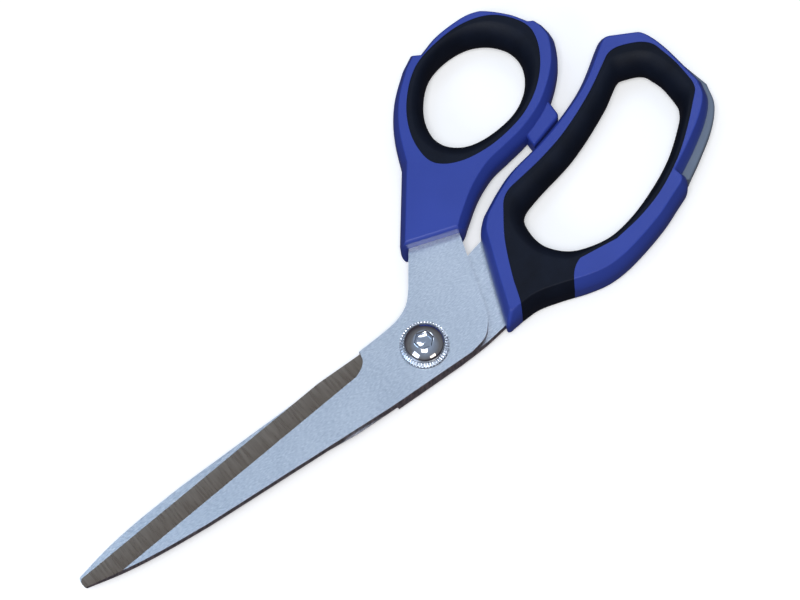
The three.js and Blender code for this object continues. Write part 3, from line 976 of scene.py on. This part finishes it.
def screw_solid():
    """A button-head screw with a chamfered hexagon socket that ends in a drill point."""
    brim = WASHER_TOP + 0.3
    crown, shoulder, cap_radius, steps = 3.1, 6.1, 9.0, 10
    flats, depth, chamfer, drill_point = 5.0, 2.2, 0.3, 0.7
    section = [
        (0, 0), (SHANK_RADIUS - 0.4, 0), (SHANK_RADIUS, 0.4), (SHANK_RADIUS, brim),
        (HEAD_RADIUS - 0.25, brim), (HEAD_RADIUS, brim + 0.2), (HEAD_RADIUS, brim + 0.45)]
    crown_rise = math.sqrt(cap_radius**2 - crown**2)
    for i in range(steps + 1):
        radius = shoulder + (crown - shoulder) * i / steps
        section.append((radius, HEAD_TOP - crown_rise + math.sqrt(cap_radius**2 - radius**2)))
    section.append((0, HEAD_TOP))
    screw = piece("screw", turned(section, ROUND))
    corner = flats / math.sqrt(3)
    bottom = HEAD_TOP - depth
    turn = Matrix.Rotation(math.radians(12), 4, "Z")
    for sides, low, small, high, big in (
            (6, bottom, corner, HEAD_TOP + OVER, corner),
            (6, HEAD_TOP - chamfer, corner, HEAD_TOP + chamfer, corner + 2 * chamfer),
            (48, bottom - drill_point, 0.05, bottom + 0.1, flats / 2)):
        tool = bmesh.new()
        bmesh.ops.create_cone(
            tool, cap_ends=True, segments=sides, radius1=small, radius2=big, depth=high - low,
            matrix=Matrix.Translation((0, 0, (low + high) / 2)) @ turn)
        combine(screw, tool)
    return as_bmesh(screw)


class SCISSORS_OT_screw(bpy.types.Operator):
    """Model the button-head pivot screw"""

    bl_idname = "scissors.screw"
    bl_label = "Pivot screw"

    def execute(self, context):
        screw = piece("pivot_screw_turned", screw_solid())
        material = plated_steel("polished_chrome_plate", "#cdd0d6", 0.07)
        dress(screw, "front", [material], "pivot_screw", sharp=28)
        return {"FINISHED"}


def washer_solid(teeth):
    """A dished lock washer with fine teeth pressed round its edge."""
    low, high, outer = WASHER_BOTTOM, WASHER_TOP, WASHER_RADIUS
    slope, tooth_steps, groove_steps = 1.2, 4, 2
    bm = turned([
        (SCREW_HOLE, low), (outer - 0.9, low), (outer - 0.15, low), (outer, low + 0.15),
        (outer - 0.05, high - 0.3), (outer - slope - 0.05, high), (SCREW_HOLE, high),
    ], teeth * tooth_steps)
    grooves = []
    for face in bm.faces:
        spot = face.calc_center_median()
        step = math.atan2(spot.y, spot.x) / (2 * math.pi) * teeth * tooth_steps % tooth_steps
        if spot.xy.length > outer - slope and spot.z > low + 0.1 and step < groove_steps:
            grooves.append(face)
    bmesh.ops.inset_region(bm, faces=grooves, thickness=0.06, use_even_offset=True)
    cut, drop = 0.35, 0.5
    for vert in {vert for face in grooves for vert in face.verts}:
        vert.co.xy -= vert.co.xy.normalized() * cut
        vert.co.z = max(low + 0.05, vert.co.z - drop)
    return bm


class SCISSORS_OT_lock_washer(bpy.types.Operator):
    """Model the toothed lock washer under the screw head"""

    bl_idname = "scissors.lock_washer"
    bl_label = "Lock washer"

    def execute(self, context):
        teeth = context.scene.scissors_sizes.washer_teeth
        washer = piece("lock_washer_toothed", washer_solid(teeth))
        material = plated_steel("bright_zinc_plate", "#cfd5dd", 0.26)
        dress(washer, "front", [material], "lock_washer", sharp=30)
        return {"FINISHED"}


def ring_section(inner, outer, bottom, top, chamfer):
    """The half section of a flat ring with broken edges."""
    return [
        (inner, bottom), (outer - chamfer, bottom), (outer, bottom + chamfer),
        (outer, top - chamfer), (outer - chamfer, top), (inner, top),
    ]


def make_ring(name, node, inner, chamfer, material):
    """A turned ring on the front half that fills its node's box."""
    low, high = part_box(node)
    section = ring_section(inner, high.x / MM, low.z / MM, high.z / MM, chamfer)
    ring = piece(name, turned(section, ROUND))
    dress(ring, "front", [material], node, sharp=30)


class SCISSORS_OT_washers(bpy.types.Operator):
    """Model the pivot's bush, slip washer and spring washer"""

    bl_idname = "scissors.washers"
    bl_label = "Bush and washers"

    def execute(self, context):
        zinc, nylon = zinc_steel(), natural_nylon()
        make_ring("pivot_bush_turned", "pivot_bush", SCREW_HOLE, 0.2, zinc)
        make_ring("slip_washer_cut", "slip_washer", BUSH_HOLE, 0.05, nylon)
        make_ring("spring_washer_pressed", "spring_washer", SCREW_HOLE, 0.12, zinc)
        return {"FINISHED"}


def nut_solid(flats, height):
    """A hexagon nut with a turned chamfer at its back and a recess for the nylon ring."""
    corner = flats / math.sqrt(3)
    past, recess_radius, recess_depth = 0.05, 4.2, 1.2
    bm = cylinder(corner, 0, height, sides=6)
    turn = Matrix.Rotation(math.pi / 6, 3, "Z")
    bmesh.ops.rotate(bm, cent=(0, 0, 0), matrix=turn, verts=bm.verts)
    nut = piece("nut", bm)
    lathe = [(0, 0), (corner - 0.75, 0), (corner + past, 0.55), (corner + past, height - 0.1),
             (corner - 0.5, height), (0, height)]
    combine(nut, turned(lathe, ROUND), "INTERSECT")
    combine(nut, cylinder(SCREW_HOLE, -OVER, height + OVER, sides=ROUND))
    combine(nut, cylinder(recess_radius, -OVER, recess_depth, sides=ROUND))
    return as_bmesh(nut)


class SCISSORS_OT_nut(bpy.types.Operator):
    """Model the lock nut and its nylon ring"""

    bl_idname = "scissors.nut"
    bl_label = "Lock nut"

    def execute(self, context):
        low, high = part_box("lock_nut")
        nut = piece("lock_nut_hexagon", nut_solid((high.y - low.y) / MM, high.z / MM))
        dress(nut, "front", [zinc_steel()], "lock_nut", sharp=25)
        grip = SHANK_RADIUS + 0.05
        make_ring("nut_insert_nylon", "nut_insert", grip, 0.15, natural_nylon())
        return {"FINISHED"}


# ---------------------------------------------------------------- stage


def area_light(name, place, target, size, power, colour):
    """A softbox of the given width and height that faces the target."""
    data = bpy.data.lights.new(name, "AREA")
    data.shape = "RECTANGLE"
    data.size, data.size_y = size
    data.energy = power
    data.color = linear(colour)
    lamp = bpy.data.objects.new(name, data)
    lamp.location = place
    lamp.rotation_euler = (Vector(target) - Vector(place)).to_track_quat("-Z", "Y").to_euler()
    bpy.context.scene.collection.objects.link(lamp)


def studio_floor():
    """A wide white floor that is only seen directly, so that it doesn't light the handles from
    beneath."""
    bm = bmesh.new()
    bmesh.ops.create_grid(bm, x_segments=1, y_segments=1, size=6 / MM)
    floor = piece("floor", bm)
    # Matt white paper with a glow of its own, which gives an even white ground.
    paper = new_material("matt_white_paper", {
        "Roughness": 0.9, "Specular IOR Level": 0.1, "Base Color": (*linear("#ececec"), 1),
        "Emission Color": (1, 1, 1, 1), "Emission Strength": 0.32})[0]
    floor.data.materials.append(paper)
    floor.visible_diffuse = floor.visible_glossy = False


def studio_world():
    """Dark horizon, grey walls and a pale ceiling, as a room looks past its softboxes."""
    world = bpy.data.worlds.new("studio")
    world.use_nodes = True
    tree = world.node_tree
    tree.nodes.clear()
    place = add_node(tree, "ShaderNodeTexCoord").outputs["Generated"]
    height = add_node(tree, "ShaderNodeSeparateXYZ", links={"Vector": place}).outputs["Z"]
    horizon, walls, ceiling = [(*linear(code), 1) for code in ("#4c484e", "#828284", "#a9b8cd")]
    room = None
    for start, end, colours in ((0.05, 0.4, {6: horizon, 7: walls}), (0.5, 0.9, {7: ceiling})):
        share = add_node(
            tree, "ShaderNodeMapRange", {"From Min": start, "From Max": end}, {"Value": height})
        links = {0: share.outputs["Result"]}
        if room:
            links[6] = room
        room = add_node(tree, "ShaderNodeMix", {"data_type": "RGBA", **colours}, links).outputs[2]
    back = add_node(tree, "ShaderNodeBackground", {"Strength": 1.0}, {"Color": room})
    add_node(tree, "ShaderNodeOutputWorld", links={"Surface": back.outputs["Background"]})
    bpy.context.scene.world = world


class SCISSORS_OT_stage(bpy.types.Operator):
    """Set up the camera, the lights and the floor"""

    bl_idname = "scissors.stage"
    bl_label = "Stage"

    def execute(self, context):
        data = bpy.data.cameras.new("camera")
        data.sensor_width = 36
        data.lens = 131.5
        data.clip_start = 0.01
        data.clip_end = 100
        camera = bpy.data.objects.new("camera", data)
        # A long lens looks down on the scissors, with the blades towards the lower left.
        right = Vector((-0.81353, 0.57822, -0.06188))
        up = Vector((-0.55301, -0.73633, 0.38988))
        turn = Matrix((right, up, right.cross(up))).transposed().to_4x4()
        camera.matrix_world = Matrix.Translation((0.1598, 0.3006, 0.8406)) @ turn
        context.scene.collection.objects.link(camera)
        context.scene.camera = camera
        context.scene.view_settings.view_transform = "Standard"
        studio_floor()
        studio_world()
        area_light("overhead", (0.45, 0.6, 1.9), (0, 0, 0), (0.7, 0.7), 22, "#ffffff")
        area_light("window", (0.42, -0.7, 1.9), (0.12, 0, 0), (0.25, 0.6), 1.9, "#bfe0ff")
        area_light("far window", (-0.85, -0.7, 1.9), (0, 0, 0), (0.25, 0.6), 2.2, "#e4ecf8")
        area_light("key", (1.6, 0.3, 1.2), (0, 0, 0), (0.9, 0.6), 7, "#e6efff")
        area_light("side", (-0.1, 1.7, 1.0), (0, 0, 0), (0.8, 0.5), 4, "#ffeeda")
        return {"FINISHED"}


# ---------------------------------------------------------------- add-on

OPERATORS = (
    SCISSORS_OT_stage, SCISSORS_OT_blades, SCISSORS_OT_shells, SCISSORS_OT_grips,
    SCISSORS_OT_rims, SCISSORS_OT_screw, SCISSORS_OT_lock_washer, SCISSORS_OT_washers,
    SCISSORS_OT_nut,
)


class SCISSORS_PT_panel(bpy.types.Panel):
    """Lists the pieces of the scissors and their settings"""

    bl_idname = "SCISSORS_PT_panel"
    bl_label = "Office scissors"
    bl_space_type = "VIEW_3D"
    bl_region_type = "UI"
    bl_category = "Scissors"

    def draw(self, context):
        layout = self.layout
        for settings in (context.scene.scissors_sizes, context.scene.scissors_finishes):
            for name in settings.bl_rna.properties.keys():
                if name not in {"rna_type", "name"}:
                    layout.prop(settings, name)
        for operator in OPERATORS:
            layout.operator(operator.bl_idname)


CLASSES = (ScissorsSizes, ScissorsFinishes, *OPERATORS, SCISSORS_PT_panel)


def register():
    for cls in CLASSES:
        bpy.utils.register_class(cls)
    bpy.types.Scene.scissors_sizes = PointerProperty(type=ScissorsSizes)
    bpy.types.Scene.scissors_finishes = PointerProperty(type=ScissorsFinishes)


def unregister():
    del bpy.types.Scene.scissors_finishes
    del bpy.types.Scene.scissors_sizes
    for cls in reversed(CLASSES):
        bpy.utils.unregister_class(cls)


def main():
    register()
    for operator in OPERATORS:
        group, name = operator.bl_idname.split(".")
        getattr(getattr(bpy.ops, group), name)()


if __name__ == "__main__":
    main()
